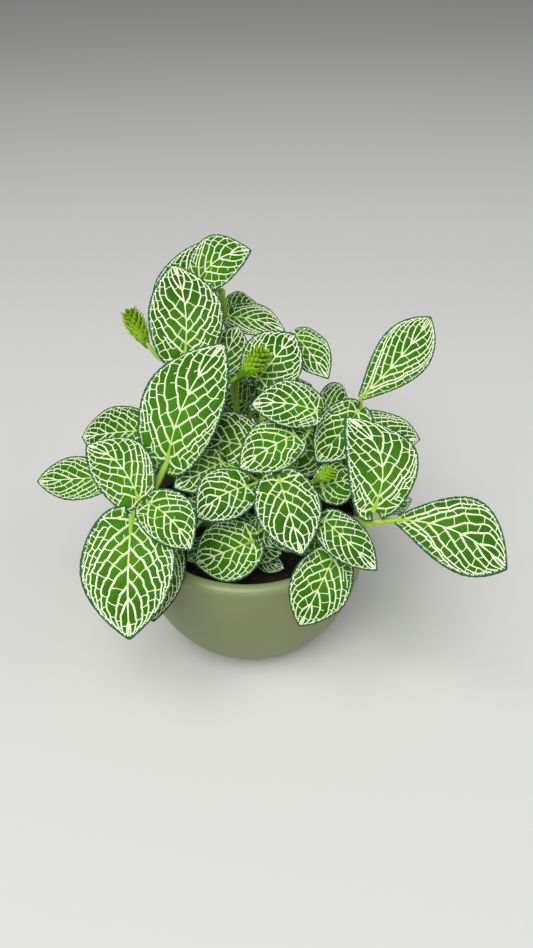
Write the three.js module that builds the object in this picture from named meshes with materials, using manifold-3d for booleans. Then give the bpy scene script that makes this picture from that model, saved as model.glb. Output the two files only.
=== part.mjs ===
// A white-veined nerve plant in a round, matt ceramic bowl pot.
// Millimetres, +Z up. The origin is the centre of the pot's flat base, and -Y is the front.
import * as THREE from "three";
import { mergeVertices } from "three/addons/utils/BufferGeometryUtils.js";
import Module from "manifold-3d";

const wasm = await Module();
wasm.setup();

// ---- Pot: driving sizes ----
const POT_HEIGHT = 69;
const POT_RADIUS = 55; // widest, at BELLY_HEIGHT
const BELLY_HEIGHT = 52;
const BASE_RADIUS = 31;
const FOOT_ROUNDING = 0.8;
const BOWL_POWER = 1.95; // 2 would be an ellipse
const NECK_RADIUS = 54.3; // where the bowl meets the lip
const LIP_THICKNESS = 6; // thick and soft, rounded all over
const WALL = 4.6;
const FLOOR = 6;
const POT_SIDES = 36;

// ---- Soil ----
const SOIL_HEIGHT = 57; // at the wall
const SOIL_MOUND = 2.5; // how much higher it is in the middle
const GAP = 0.3; // between pieces that touch in the real plant
const ROOT_DEPTH = 14; // how far a stem stands in the soil

// ---- Stems and stalks ----
const SMALLEST_EDGE = 0.02; // that joining may leave
const SLIVER = 0.01; // height of a triangle that is smoothed away
const STEM_RADIUS = 1.5;
const STALK_RADIUS = 0.95;
const STALK_REACH = 0.07; // how far a leaf's stalk runs on into its blade, over the length

// ---- Blades ----
const BLADE_THICKNESS = 0.7;
const BLADE_ROWS = 6; // along a blade
const BLADE_COLUMNS = 4; // across it
const SMALL_BLADE = 30; // a blade shorter than this has one row fewer
const BASE_POWER = 0.38; // of a rounded base: the lower, the rounder
const NARROW_POWER = 1.1; // of a narrow base
const TIP_POWER = 2; // over 1 keeps the outline full towards the tip
const LOBE = 0.16; // how far a rounded base reaches back past the stalk, over the width
const BASE_END = 0.12; // width left at the base, as a share of the widest
const TIP_END = 0.04; // and at the tip
const WAVE = 0.5; // how far the edge waves up and down
const CURL = 0.5; // how far the edges turn down, as a share of their rise
const LIGHT = new THREE.Vector3(0.05, -0.68, 0.73).normalize(); // upper faces turn to it

// ---- Flower spikes ----
const BRACT_ROWS = 5;
const BRACTS = 4; // in a row
const BRACT_NOTCH = 0.78; // radius between two bracts, as a share of a bract's

// ---- Materials ----
const GLAZE = { color: 0x7b825c, roughness: 0.45, metalness: 0 };
const POTTING_SOIL = { color: 0x1c1611, roughness: 0.95, metalness: 0 };
const FOLIAGE = { color: 0x4a8526, roughness: 0.5, metalness: 0 };
const BRACT = { color: 0x8fc31c, roughness: 0.55, metalness: 0 };

// Each leafy stem: the path of its stem, which starts at the soil, and its leaves.
// A leaf: the path point it grows from, base and tip of its blade, width, roll about the
// midrib and fold of each half in degrees, how far the midrib arches up and sweeps to the
// left as shares of its length, and how tapered its base is (0 is rounded, 1 is narrow).
const STEMS = {
  stem_left: {
    path: [[-13, -12, 60], [-24, -22, 80], [-40, -33, 100]],
    leaves: [
      [2, [-33, -14, 106], [-9, 24, 139], 34, 0, 10, 0.05, 0.07, 0],
      [2, [-45, -42, 99], [-45, -77, 70], 36, 0, 8, 0.08, -0.01, 0],
      [2, [-43, -33, 101], [-67, -8, 110], 25, 0, 10, 0.06, -0.12, 0],
      [2, [-38, -38, 104], [-21, -55, 95], 21, 0, 10, 0.06, 0.08, 0],
      [1, [-37, -33, 82], [-39, -61, 60], 24, 0, 10, 0.06, 0, 0],
      [1, [-26, -17, 87], [-24, -31, 80], 17, 0, 10, 0.06, 0, 0],
    ],
  },
  stem_far_left: {
    path: [[-18, 6, 60], [-36, 8, 82], [-50, 10, 92]],
    leaves: [
      [2, [-60, 0, 86], [-96, 1, 83], 20, 0, 14, 0.04, 0, 0.3],
      [2, [-47, 20, 97], [-82, 34, 83], 25, 0, 10, 0.04, 0, 0],
      [1, [-40, 18, 80], [-56, 38, 72], 24, -20, 10, 0.04, 0, 0],
    ],
  },
  stem_top: {
    path: [[-8, 8, 60], [-17, 19, 98], [-27, 30, 124]],
    leaves: [
      [2, [-27, 27, 131], [-32, 58, 160], 33, 0, 10, 0.05, -0.07, 0],
      [2, [-29, 37, 130], [-22, 82, 160], 27, 0, 10, 0.05, 0.06, 0],
      [2, [-13, 28, 119], [-4, 51, 133], 20, 0, 10, 0.05, 0, 0],
      [1, [-21, 27, 97], [-40, 50, 88], 25, 0, 10, 0.06, 0, 0],
    ],
  },
  stem_back_left: {
    path: [[-4, 22, 60], [-7, 47, 106], [-10, 62, 131], [-11, 55, 148]],
    leaves: [
      [3, [-21, 54, 154], [3, 58, 166], 23, 0, 10, 0.05, 0.12, 0],
      [2, [-9, 60, 133], [18, 56, 127], 16, 0, 10, 0.05, 0.05, 0],
      [2, [-8, 66, 133], [4, 75, 133], 16, 0, 10, 0.05, 0, 0],
      [1, [-13, 50, 108], [-28, 80, 94], 26, 0, 10, 0.05, 0, 0],
      [1, [-5, 50, 106], [8, 80, 96], 26, 0, 10, 0.05, 0, 0],
      [1, [23, 56, 125], [37, 31, 116], 19, 0, 10, 0.05, 0, 0],
    ],
  },
  stem_back: {
    path: [[3, 14, 60], [7, 26, 98], [9, 34, 122]],
    leaves: [
      [2, [5, 27, 119], [22, 44, 132], 28, 0, 10, 0.05, 0, 0],
      [1, [12, 31, 99], [31, 54, 98], 24, 0, 10, 0.06, 0, 0],
    ],
  },
  stem_right: {
    path: [[16, 4, 60], [32, 6, 90], [49, 6, 115]],
    leaves: [
      [2, [49, 8, 121], [80, 33, 145], 23, 0, 10, 0.05, -0.03, 0.8],
      [2, [47, 2, 118], [29, -11, 101], 22, 0, 30, 0.05, 0, 0],
      [2, [50, 5, 113], [76, 5, 100], 17, 0, 10, 0.05, -0.1, 0.3],
      [1, [38, 10, 88], [62, 6, 82], 22, 0, 10, 0.06, 0, 0],
      [1, [33, 2, 96], [14, -1, 102], 24, 0, 10, 0.05, 0, 0],
    ],
  },
  stem_right_low: {
    path: [[16, -10, 60], [36, -26, 82], [46, -50, 103]],
    leaves: [
      [2, [57, -51, 105], [94, -70, 98], 28, 0, 10, 0.05, 0.11, 0.8],
      [2, [48, -48, 108], [40, -12, 125], 28, 0, 10, 0.05, -0.2, 0],
      [2, [50, -38, 99], [66, -33, 99], 9, 0, 10, 0.05, 0, 0.5],
    ],
  },
  stem_front: {
    path: [[8, -18, 60], [22, -34, 76], [32, -44, 88]],
    leaves: [
      [2, [34, -51, 86], [20, -66, 62], 24, 0, 10, 0.05, 0, 0],
      [2, [30, -43, 98.5], [49, -62, 89.5], 17, 0, 10, 0.05, 0, 0],
      [1, [24, -34, 84], [34, -50, 82], 16, 0, 10, 0.05, 0, 0],
    ],
  },
  stem_middle: {
    path: [[6, -4, 60], [10, -12, 88], [17, -19, 103]],
    leaves: [
      [2, [13, -30, 108], [21, -56, 92], 26, 0, 10, 0.05, 0, 0],
      [2, [0, -28, 103], [-20, -39, 96], 22, 0, 10, 0.05, -0.1, 0],
      [2, [20, -11, 116], [-3, -23, 108], 22, 0, 10, 0.05, -0.03, 0],
      [2, [29, -6, 124], [2, -5, 127], 20, 0, 10, 0.05, -0.06, 0],
      [1, [31, -17, 93], [46, -12, 93], 20, 0, 10, 0.05, 0, 0],
      [1, [1, 2, 100], [-24, 12, 99], 28, 0, 10, 0.05, 0, 0],
      [1, [-11, -6, 98], [-31, -20, 96], 19, 0, 10, 0.05, 0, 0],
    ],
  },
  stem_front_left: {
    path: [[-4, -20, 60], [-5, -28, 74], [0, -36, 82]],
    leaves: [
      [2, [2, -38, 82], [-23, -37, 68], 26, 0, 10, 0.05, 0, 0],
      [2, [0, -33, 76], [14, -36, 72], 15, 0, 10, 0.05, 0, 0],
      [1, [4, -28, 86], [12, -39, 78], 14, 0, 10, 0.05, 0, 0],
      [2, [11, -37, 91], [20, -51, 88], 13, 0, 10, 0.05, 0, 0],
      [1, [-17, -25, 68], [-27, -34, 66], 12, 0, 10, 0.05, 0, 0],
      [1, [1, -26, 80], [-20, -28, 73], 17, 0, 10, 0.05, 0, 0],
      [1, [4, -34, 67], [15, -38, 65], 9, 0, 10, 0.05, 0, 0],
    ],
  },
  stem_back_low: {
    path: [[0, 28, 60], [-1, 42, 74], [0, 50, 84]],
    leaves: [
      [2, [-1, 53, 87], [-13, 78, 80], 29, 20, 10, 0.06, 0, 0],
      [2, [4, 53, 84], [24, 72, 76], 28, -20, 10, 0.06, 0, 0],
      [1, [-9, 47, 78], [-32, 60, 80], 22, 20, 10, 0.06, 0, 0],
    ],
  },
  stem_back_right: {
    path: [[20, 18, 60], [28, 30, 78], [33, 38, 92]],
    leaves: [
      [2, [36, 40, 94], [52, 56, 84], 24, -10, 10, 0.06, 0, 0],
      [2, [31, 42, 88], [20, 62, 83], 22, 10, 10, 0.06, 0, 0],
      [1, [34, 24, 80], [58, 24, 74], 24, -10, 10, 0.06, 0, 0],
    ],
  },
};

// Flower spikes of overlapping bracts: the stem they belong to, the path point where their
// stalk starts, where it bends, foot and tip of the spike, and its widest radius.
const SPIKES = {
  spike_left: ["stem_top", 2, [-40, 41, 122], [-48, 50, 127], [-56, 58, 141], 6.5],
  spike_back: ["stem_top", 1, [-14, 18, 117], [-1, 20, 127], [11, 24, 137], 6.5],
  spike_middle: ["stem_middle", 1, [22, -20, 95], [29, -21, 100], [37, -17, 103], 4],
};

const vector = (p) => new THREE.Vector3(...p);

// ---- Solids ----
// A closed geometry as a solid that can be joined and cut. Points closer than the
// tolerance become one.
function solidOf(geometry, tolerance = 1e-3) {
  geometry.deleteAttribute("normal");
  geometry.deleteAttribute("uv");
  const merged = mergeVertices(geometry, tolerance);
  return new wasm.Manifold(
    new wasm.Mesh({
      numProp: 3,
      vertProperties: merged.attributes.position.array,
      triVerts: new Uint32Array(merged.index.array),
    }),
  );
}

// A geometry from points and faces, where a face is three point numbers.
function geometryOf(points, faces) {
  const geometry = new THREE.BufferGeometry().setFromPoints(points);
  geometry.setIndex(faces.flat());
  return geometry;
}

// The surface of a solid.
function surfaceOf(solid) {
  const data = solid.getMesh();
  const geometry = new THREE.BufferGeometry();
  geometry.setAttribute("position", new THREE.BufferAttribute(data.vertProperties, 3));
  geometry.setIndex(new THREE.BufferAttribute(data.triVerts, 1));
  return geometry;
}

function meshOf(name, solid, look) {
  const geometry = surfaceOf(solid);
  geometry.computeVertexNormals();
  const mesh = new THREE.Mesh(geometry, new THREE.MeshStandardMaterial(look));
  mesh.name = name;
  return mesh;
}

// Bodies joined into one. Any pocket that closes up between them is filled, and the slivers
// where they meet are smoothed away.
function grown(bodies) {
  let joined = bodies.reduce((whole, body) => whole.add(body));
  for (let pass = 0; pass < 2; pass++) {
    const shells = solidOf(surfaceOf(joined.simplify(SLIVER)), SMALLEST_EDGE).decompose();
    joined = shells.reduce((most, shell) => (shell.volume() > most.volume() ? shell : most));
  }
  return joined.simplify(SLIVER);
}

// A round rod along a smooth path through the given points.
function rod(path, radius, sides, steps) {
  const section = new THREE.Shape();
  for (let k = 0; k < sides; k++) {
    const angle = (2 * Math.PI * k) / sides;
    const corner = [radius * Math.cos(angle), radius * Math.sin(angle)];
    if (k === 0) section.moveTo(...corner);
    else section.lineTo(...corner);
  }
  const extrudePath = new THREE.CatmullRomCurve3(path.map(vector), false, "centripetal");
  return solidOf(new THREE.ExtrudeGeometry(section, { steps, extrudePath }));
}

// A solid turned round the Z axis from [radius, height] points that start and end on it.
function turned(profile) {
  const points = profile.map(([radius, z]) => new THREE.Vector2(radius, z));
  const lathe = new THREE.LatheGeometry(points, POT_SIDES);
  lathe.rotateX(Math.PI / 2);
  return solidOf(lathe);
}

// ---- Pot ----
// Radius of the bowl's outside from its foot up to the belly.
function bowlRadius(z) {
  const drop = Math.max(0, 1 - z / BELLY_HEIGHT);
  const spread = (1 - drop ** BOWL_POWER) ** (1 / BOWL_POWER);
  return BASE_RADIUS + (POT_RADIUS - BASE_RADIUS) * spread;
}

// The inside of the wall, from the floor to the lip.
function wallInside() {
  const steps = 4;
  const low = FLOOR + 1.5;
  const points = [];
  for (let i = 0; i <= steps; i++) {
    const z = low + (BELLY_HEIGHT - low) * (i / steps);
    points.push([bowlRadius(z) - WALL, z]);
  }
  return [...points, [NECK_RADIUS - LIP_THICKNESS, POT_HEIGHT - LIP_THICKNESS / 2]];
}

function pot() {
  const profile = [[0, 0], [BASE_RADIUS, 0]];
  const bowlSteps = 7;
  for (let i = 0; i <= bowlSteps; i++) {
    const z = FOOT_ROUNDING + (BELLY_HEIGHT - FOOT_ROUNDING) * (i / bowlSteps) ** 1.3;
    profile.push([bowlRadius(z), z]);
  }
  const lipRadius = LIP_THICKNESS / 2;
  const lipSteps = 6;
  for (let i = 0; i <= lipSteps; i++) {
    const angle = (Math.PI * i) / lipSteps;
    profile.push([
      NECK_RADIUS - lipRadius + lipRadius * Math.cos(angle),
      POT_HEIGHT - lipRadius + lipRadius * Math.sin(angle),
    ]);
  }
  const inside = wallInside().reverse().slice(1);
  profile.push(...inside, [inside.at(-1)[0] - 2, FLOOR], [0, FLOOR]);
  return turned(profile);
}

// ---- Soil ----
// It fills the pot to below the lip, with a plain hole for the root of each stem.
function soil() {
  const wall = wallInside();
  const [[neck, neckHeight], [lip, lipHeight]] = wall.slice(-2);
  const edge = neck + ((lip - neck) * (SOIL_HEIGHT - neckHeight)) / (lipHeight - neckHeight);
  const profile = [[0, FLOOR + GAP], [wall[0][0] - 2.5, FLOOR + GAP]];
  for (const [radius, z] of [...wall.slice(0, -1), [edge, SOIL_HEIGHT]])
    profile.push([radius - GAP, z]);
  for (const share of [0.75, 0.4])
    profile.push([share * edge, SOIL_HEIGHT + SOIL_MOUND * (1 - share ** 2)]);
  profile.push([0, SOIL_HEIGHT + SOIL_MOUND]);
  const holes = Object.values(STEMS).map(({ path }) => rootHole(path[0]));
  return holes.reduce((body, hole) => body.subtract(hole), turned(profile));
}

// A round hole that a stem stands in, open at the soil's top.
function rootHole([x, y, z]) {
  const radius = STEM_RADIUS + 4 * GAP;
  const depth = ROOT_DEPTH + GAP;
  const above = 10;
  const hole = new THREE.CylinderGeometry(radius, radius, depth + above, 10);
  hole.rotateX(Math.PI / 2);
  hole.translate(x, y, z + (above - depth) / 2);
  return solidOf(hole);
}

// ---- Leaves ----
// How wide a blade is along its length, as a share of its widest.
function outline(along, taper) {
  const power = BASE_POWER + (NARROW_POWER - BASE_POWER) * taper;
  const widest = (power / (power + TIP_POWER)) ** (1 / TIP_POWER);
  const most = widest ** power * (1 - widest ** TIP_POWER);
  const end = BASE_END + (TIP_END - BASE_END) * along;
  return end + ((1 - end) * along ** power * (1 - along ** TIP_POWER)) / most;
}

// A blade: a curved sheet of even thickness, whose edge waves up and down.
function blade(base, tip, width, roll, fold, arch, sweep, taper) {
  const start = vector(base);
  const forward = vector(tip).sub(start);
  const length = forward.length();
  forward.normalize();
  const up = LIGHT.clone().addScaledVector(forward, -LIGHT.dot(forward)).normalize();
  up.applyAxisAngle(forward, THREE.MathUtils.degToRad(-roll));
  const right = forward.clone().cross(up);
  const slope = Math.tan(THREE.MathUtils.degToRad(fold));
  const rows = length > SMALL_BLADE ? BLADE_ROWS : BLADE_ROWS - 1;
  const middle = [];
  for (let i = 0; i <= rows; i++) {
    const along = (1 - Math.cos((Math.PI * i) / rows)) / 2;
    const bow = 4 * along * (1 - along);
    const half = (width / 2) * outline(along, taper);
    for (let j = 0; j <= BLADE_COLUMNS; j++) {
      const across = (2 * j) / BLADE_COLUMNS - 1;
      const side = Math.abs(across) * half;
      const lobe = LOBE * (1 - taper) * width * across ** 2 * (1 - along) ** 4;
      const wave = WAVE * across ** 2 * (i % 2 ? 1 : -1) * bow;
      const lift = slope * side * (1 - (CURL * side) / (width / 2)) + wave;
      middle.push(
        start
          .clone()
          .addScaledVector(forward, length * along - lobe)
          .addScaledVector(right, across * half - sweep * length * bow)
          .addScaledVector(up, arch * length * bow + lift),
      );
    }
  }
  return sheet(middle, up, rows, BLADE_COLUMNS);
}

// A grid of points given thickness along up, split into triangles alike on both faces.
function sheet(middle, up, rows, columns) {
  const half = BLADE_THICKNESS / 2;
  const top = middle.map((point) => point.clone().addScaledVector(up, half));
  const under = middle.map((point) => point.clone().addScaledVector(up, -half));
  const down = top.length;
  const at = (i, j) => i * (columns + 1) + j;
  const faces = [];
  for (let i = 0; i < rows; i++)
    for (let j = 0; j < columns; j++) {
      const [a, b, c, d] = [at(i, j), at(i, j + 1), at(i + 1, j + 1), at(i + 1, j)];
      faces.push([a, b, c], [a, c, d]);
      faces.push([down + a, down + c, down + b], [down + a, down + d, down + c]);
    }
  const edge = [];
  for (let j = 0; j < columns; j++) edge.push(at(0, j));
  for (let i = 0; i < rows; i++) edge.push(at(i, columns));
  for (let j = columns; j > 0; j--) edge.push(at(rows, j));
  for (let i = rows; i > 0; i--) edge.push(at(i, 0));
  edge.forEach((a, i) => {
    const b = edge[(i + 1) % edge.length];
    faces.push([a, down + a, down + b], [a, down + b, b]);
  });
  return solidOf(geometryOf([...top, ...under], faces));
}

// ---- Leafy stems ----
// A stem's rod, with a stalk and a blade for each leaf, grown as one piece. Flower stalks
// are [path point, bend, end] lists.
function leafyStem({ path, leaves }, flowerStalks) {
  const [x, y, z] = path[0];
  const root = [[x, y, z - ROOT_DEPTH], [x, y, z - ROOT_DEPTH / 2]];
  const bodies = [rod([...root, ...path], STEM_RADIUS, 6, 8)];
  for (const [from, base, tip, ...shape] of leaves) {
    const end = vector(base).lerp(vector(tip), STALK_REACH).toArray();
    bodies.push(rod([path[from], base, end], STALK_RADIUS, 5, 3));
    bodies.push(blade(base, tip, ...shape));
  }
  for (const [from, bend, end] of flowerStalks)
    bodies.push(rod([path[from], bend, end], STALK_RADIUS, 5, 5));
  return grown(bodies);
}

// Where a spike's stalk ends: a small gap short of the spike's foot.
function stalkEnd(foot, tip) {
  const start = vector(foot);
  const axis = vector(tip).sub(start).normalize();
  return start.addScaledVector(axis, -2 * GAP).toArray();
}

// ---- Flower spikes ----
// Rows of pointed bracts round a core, each row turned against the one below: a row is a
// narrow ring and a wide one, and the wide ring is notched between the bracts.
function spike(foot, tip, radius) {
  const start = vector(foot);
  const axis = vector(tip).sub(start);
  const length = axis.length();
  axis.normalize();
  const first = new THREE.Vector3(0, 0, 1).cross(axis).normalize();
  const second = axis.clone().cross(first);
  const sides = 2 * BRACTS;
  const points = [];
  const rings = 2 * BRACT_ROWS;
  for (let i = 0; i <= rings; i++) {
    const share = i / rings;
    const belly = Math.sin(Math.PI * (0.12 + 0.86 * share)) ** 0.6;
    const flare = i % 2 ? 1 : 0.72;
    for (let k = 0; k < sides; k++) {
      const angle = (2 * Math.PI * k) / sides;
      const point = (Math.floor(i / 2) + k) % 2 ? 1 : BRACT_NOTCH;
      const reach = radius * belly * flare * point;
      points.push(
        start
          .clone()
          .addScaledVector(axis, length * share + (point === 1 ? 2 * GAP : 0))
          .addScaledVector(first, reach * Math.cos(angle))
          .addScaledVector(second, reach * Math.sin(angle)),
      );
    }
  }
  return solidOf(geometryOf(points, ringFaces(rings, sides)));
}

// Faces that join rings of points into a closed skin with a flat cap at both ends.
function ringFaces(rings, sides) {
  const faces = [];
  for (let r = 0; r < rings; r++)
    for (let i = 0; i < sides; i++) {
      const a = r * sides + i;
      const b = r * sides + ((i + 1) % sides);
      faces.push([a, b, b + sides], [a, b + sides, a + sides]);
    }
  const last = rings * sides;
  for (let i = 1; i + 1 < sides; i++) {
    faces.push([0, i + 1, i]);
    faces.push([last, last + i, last + i + 1]);
  }
  return faces;
}

// ---- The potted plant ----
const plant = new THREE.Group();
plant.add(meshOf("pot", pot(), GLAZE));
plant.add(meshOf("soil", soil(), POTTING_SOIL));
for (const [name, stem] of Object.entries(STEMS)) {
  const flowerStalks = Object.values(SPIKES)
    .filter(([owner]) => owner === name)
    .map(([, from, bend, foot, tip]) => [from, bend, stalkEnd(foot, tip)]);
  plant.add(meshOf(name, leafyStem(stem, flowerStalks), FOLIAGE));
}
for (const [name, [, , , foot, tip, radius]] of Object.entries(SPIKES))
  plant.add(meshOf(name, spike(foot, tip, radius), BRACT));

export default plant;
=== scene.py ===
"""A white-veined nerve plant in a round, matt ceramic bowl pot.

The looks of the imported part: its nodes are replaced by finer pieces of the same form. The
object's front is -Y, its pot stands on Z = 0, and sizes are in millimetres until a mesh is made.
"""

import math
import random

import bpy
import numpy as np
from mathutils import Matrix, Vector
from mathutils.kdtree import KDTree


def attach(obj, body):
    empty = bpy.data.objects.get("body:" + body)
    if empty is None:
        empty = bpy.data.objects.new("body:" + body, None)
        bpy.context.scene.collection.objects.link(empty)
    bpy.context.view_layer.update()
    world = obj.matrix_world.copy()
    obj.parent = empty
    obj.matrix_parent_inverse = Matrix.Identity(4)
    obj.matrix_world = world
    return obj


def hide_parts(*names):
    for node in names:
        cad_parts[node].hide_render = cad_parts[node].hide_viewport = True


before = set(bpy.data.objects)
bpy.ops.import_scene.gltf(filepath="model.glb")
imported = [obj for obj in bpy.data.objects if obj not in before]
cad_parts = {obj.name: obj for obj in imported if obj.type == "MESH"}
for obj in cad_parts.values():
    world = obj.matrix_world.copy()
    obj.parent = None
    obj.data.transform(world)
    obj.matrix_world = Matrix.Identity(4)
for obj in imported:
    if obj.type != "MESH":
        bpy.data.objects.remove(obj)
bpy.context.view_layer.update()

# ---- Camera, daylight and floor ----
# A phone held above the front edge of the table looks down on the plant. The light is that of
# a bright, plain room: a wide soft source overhead towards the front, and pale walls all round.
CAMERA_PLACE = (0.008, -0.236, 0.284)
CAMERA_DOWN = 40  # degrees below level
CAMERA_ROLL = -1
CAMERA_LENS = 26  # mm, for a sensor whose longer side is 36 mm
FLOOR_WIDTH = 6
CEILING_LIGHT = {"place": (-0.35, -0.75, 1.5), "width": 1.2, "watts": 30}
SIDE_LIGHT = {"place": (1.3, -0.3, 0.9), "width": 1.2, "watts": 6}
ROOM_LIGHT = 0.3


def linear(hex_colour):
    """An sRGB hex colour as the linear RGBA that a socket takes."""
    shares = [int(hex_colour[i : i + 2], 16) / 255 for i in (1, 3, 5)]
    curved = [c / 12.92 if c <= 0.04045 else ((c + 0.055) / 1.055) ** 2.4 for c in shares]
    return (*curved, 1)


def feed(node, inputs):
    """Gives inputs a value, a hex colour, a socket, or the first output in use of a node."""
    for key, value in inputs.items():
        if isinstance(value, bpy.types.Node):
            value = next(output for output in value.outputs if output.enabled)
        if isinstance(value, bpy.types.NodeSocket):
            node.id_data.links.new(value, node.inputs[key])
        else:
            is_colour = isinstance(value, str) and value.startswith("#")
            node.inputs[key].default_value = linear(value) if is_colour else value


def new_material(name, **shader_inputs):
    """A material that holds only its Principled shader, with the tree and the shader node."""
    material = bpy.data.materials.new(name)
    material.use_nodes = True
    tree = material.node_tree
    shader = tree.nodes["Principled BSDF"]
    feed(shader, {key.replace("_", " "): value for key, value in shader_inputs.items()})
    return material, tree, shader


def add_object(name, data):
    """A new object in the scene."""
    thing = bpy.data.objects.new(name, data)
    bpy.context.scene.collection.objects.link(thing)
    return thing


camera = add_object("camera", bpy.data.cameras.new("camera"))
camera.data.lens = CAMERA_LENS
camera.data.sensor_width = 36
camera.data.clip_start = 0.01
tilt = Matrix.Rotation(math.radians(90 - CAMERA_DOWN), 4, "X")
roll = Matrix.Rotation(math.radians(CAMERA_ROLL), 4, "Z")
camera.matrix_world = Matrix.Translation(CAMERA_PLACE) @ tilt @ roll
bpy.context.scene.camera = camera
bpy.context.scene.view_settings.view_transform = "Standard"

for light_name, light in {"ceiling_light": CEILING_LIGHT, "side_light": SIDE_LIGHT}.items():
    lamp = add_object(light_name, bpy.data.lights.new(light_name, "AREA"))
    lamp.data.size = light["width"]
    lamp.data.energy = light["watts"]
    lamp.location = light["place"]
    towards = Vector((0, 0, 0.1)) - lamp.location
    lamp.rotation_euler = towards.to_track_quat("-Z", "Y").to_euler()

room = bpy.data.worlds.new("pale room")
room.use_nodes = True
feed(room.node_tree.nodes["Background"], {"Color": "#F4F6F8", "Strength": ROOM_LIGHT})
bpy.context.scene.world = room

# The floor is a matt painted board.
floor_mesh = bpy.data.meshes.new("floor")
half = FLOOR_WIDTH / 2
corners = [(-half, -half, 0), (half, -half, 0), (half, half, 0), (-half, half, 0)]
floor_mesh.from_pydata(corners, [], [(0, 1, 2, 3)])
floor = add_object("floor", floor_mesh)
board_paint, _, _ = new_material("matt board paint", Base_Color="#CFCFCB", Roughness=0.9)
floor_mesh.materials.append(board_paint)

# ---- Pot ----
# A slip-cast stoneware bowl with a thick, soft lip, dipped in a matt sage-green glaze. It
# stands on its flat foot, and its round belly draws in a little under the lip.
MM = 0.001
POT_HEIGHT = 69
POT_RADIUS = 55  # widest, at BELLY_HEIGHT
BELLY_HEIGHT = 52
BASE_RADIUS = 31
FOOT_ROUNDING = 0.8
BOWL_POWER = 1.95
NECK_RADIUS = 54.3  # where the bowl meets the lip
LIP_THICKNESS = 6
WALL = 4.6
POT_FLOOR = 6
POT_SIDES = 180


def bowl_radius(z):
    """Radius of the bowl's outside from its foot up to the belly."""
    drop = max(0, 1 - z / BELLY_HEIGHT)
    spread = (1 - drop**BOWL_POWER) ** (1 / BOWL_POWER)
    return BASE_RADIUS + (POT_RADIUS - BASE_RADIUS) * spread


def wall_inside(steps):
    """The inside of the pot's wall, from just above its floor up to the lip."""
    low = POT_FLOOR + 1.5
    heights = [low + (BELLY_HEIGHT - low) * i / steps for i in range(steps + 1)]
    return [(bowl_radius(z) - WALL, z) for z in heights] + [
        (NECK_RADIUS - LIP_THICKNESS, POT_HEIGHT - LIP_THICKNESS / 2)
    ]


def pot_profile():
    """Radius and height of the pot's outline, from the middle of its foot to its floor."""
    foot = [(0, 0), (BASE_RADIUS / 2, 0), (BASE_RADIUS - 0.6, 0), (BASE_RADIUS - 0.1, 0.1)]
    outside = []
    for i in range(41):
        z = FOOT_ROUNDING + (BELLY_HEIGHT - FOOT_ROUNDING) * (i / 40) ** 1.3
        outside.append((bowl_radius(z), z))
    lip_radius = LIP_THICKNESS / 2
    lip_middle = POT_HEIGHT - lip_radius
    neck = []
    for share in (i / 8 for i in range(1, 8)):
        radius = POT_RADIUS + (NECK_RADIUS - POT_RADIUS) * share * share * (3 - 2 * share)
        neck.append((radius, BELLY_HEIGHT + (lip_middle - BELLY_HEIGHT) * share))
    lip = []
    for angle in (math.pi * i / 24 for i in range(25)):
        radius = NECK_RADIUS - lip_radius + lip_radius * math.cos(angle)
        lip.append((radius, lip_middle + lip_radius * math.sin(angle)))
    inside = wall_inside(20)[::-1][1:]
    floor_edge = inside[-1][0]
    return foot + outside + neck + lip + inside + [(floor_edge - 2, POT_FLOOR), (0, POT_FLOOR)]


def turned_mesh(name, profile, sides):
    """A closed mesh turned round the Z axis. The profile starts and ends on the axis."""
    points = [(0, 0, profile[0][1])]
    for radius, z in profile[1:-1]:
        for k in range(sides):
            angle = 2 * math.pi * k / sides
            points.append((radius * math.cos(angle), radius * math.sin(angle), z))
    points.append((0, 0, profile[-1][1]))
    last = len(points) - 1
    faces = []
    for k in range(sides):
        after = (k + 1) % sides
        faces.append((0, 1 + after, 1 + k))
        for ring in range(len(profile) - 3):
            low = 1 + ring * sides
            faces.append((low + k, low + after, low + sides + after, low + sides + k))
        faces.append((last, last - sides + k, last - sides + after))
    mesh = bpy.data.meshes.new(name)
    mesh.from_pydata([Vector(p) * MM for p in points], [], faces)
    mesh.shade_smooth()
    return mesh


def place_piece(mesh, material_slot, *nodes):
    """Makes a piece of a finished mesh, which rides on the body and stands for its CAD nodes."""
    piece = add_object(mesh.name, mesh)
    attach(piece, "root")
    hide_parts(*nodes)


def add_node(tree, kind, inputs=None, **settings):
    """Adds a node with its settings and inputs."""
    node = tree.nodes.new(kind)
    for name, value in settings.items():
        setattr(node, name, value)
    feed(node, inputs or {})
    return node


def mottled(tree, place, scale, detail, low, high):
    """Noise at a place, and a colour that it mixes from two."""
    noise = add_node(tree, "ShaderNodeTexNoise", {"Vector": place, "Scale": scale, "Detail": detail})
    mix = add_node(tree, "ShaderNodeMix", {"Factor": noise, 6: low, 7: high}, data_type="RGBA")
    return noise, mix


# Matt glaze on stoneware, dipped and fired: an even sage green with a soft, wide highlight. It
# is paler on the lip's edge, partly from thinner glaze and partly as a painted highlight; it clouds
# faintly over the belly, and has the low ripple of a glaze that hardly flows.
sage_glaze, tree, shader = new_material("matt sage glaze", IOR=1.5)
place = add_node(tree, "ShaderNodeTexCoord").outputs["Object"]
height = add_node(tree, "ShaderNodeSeparateXYZ", {0: place}).outputs["Z"]
clouds, cloudy = mottled(tree, place, 45, 3, "#727A4C", "#80885A")
# Paler towards the lip's top: thinner glaze, and a painted highlight along the lip's edge.
lip_thin_glaze_and_highlight = add_node(
    tree, "ShaderNodeMapRange", {"Value": height, "From Min": 0.064, "From Max": 0.069, "To Max": 0.5},
    interpolation_type="SMOOTHSTEP",
)
glaze_colour = add_node(tree, "ShaderNodeMix", {"Factor": lip_thin_glaze_and_highlight, 6: cloudy, 7: "#8E976A"}, data_type="RGBA")
ripple = add_node(tree, "ShaderNodeTexNoise", {"Vector": place, "Scale": 420, "Detail": 2})
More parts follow.
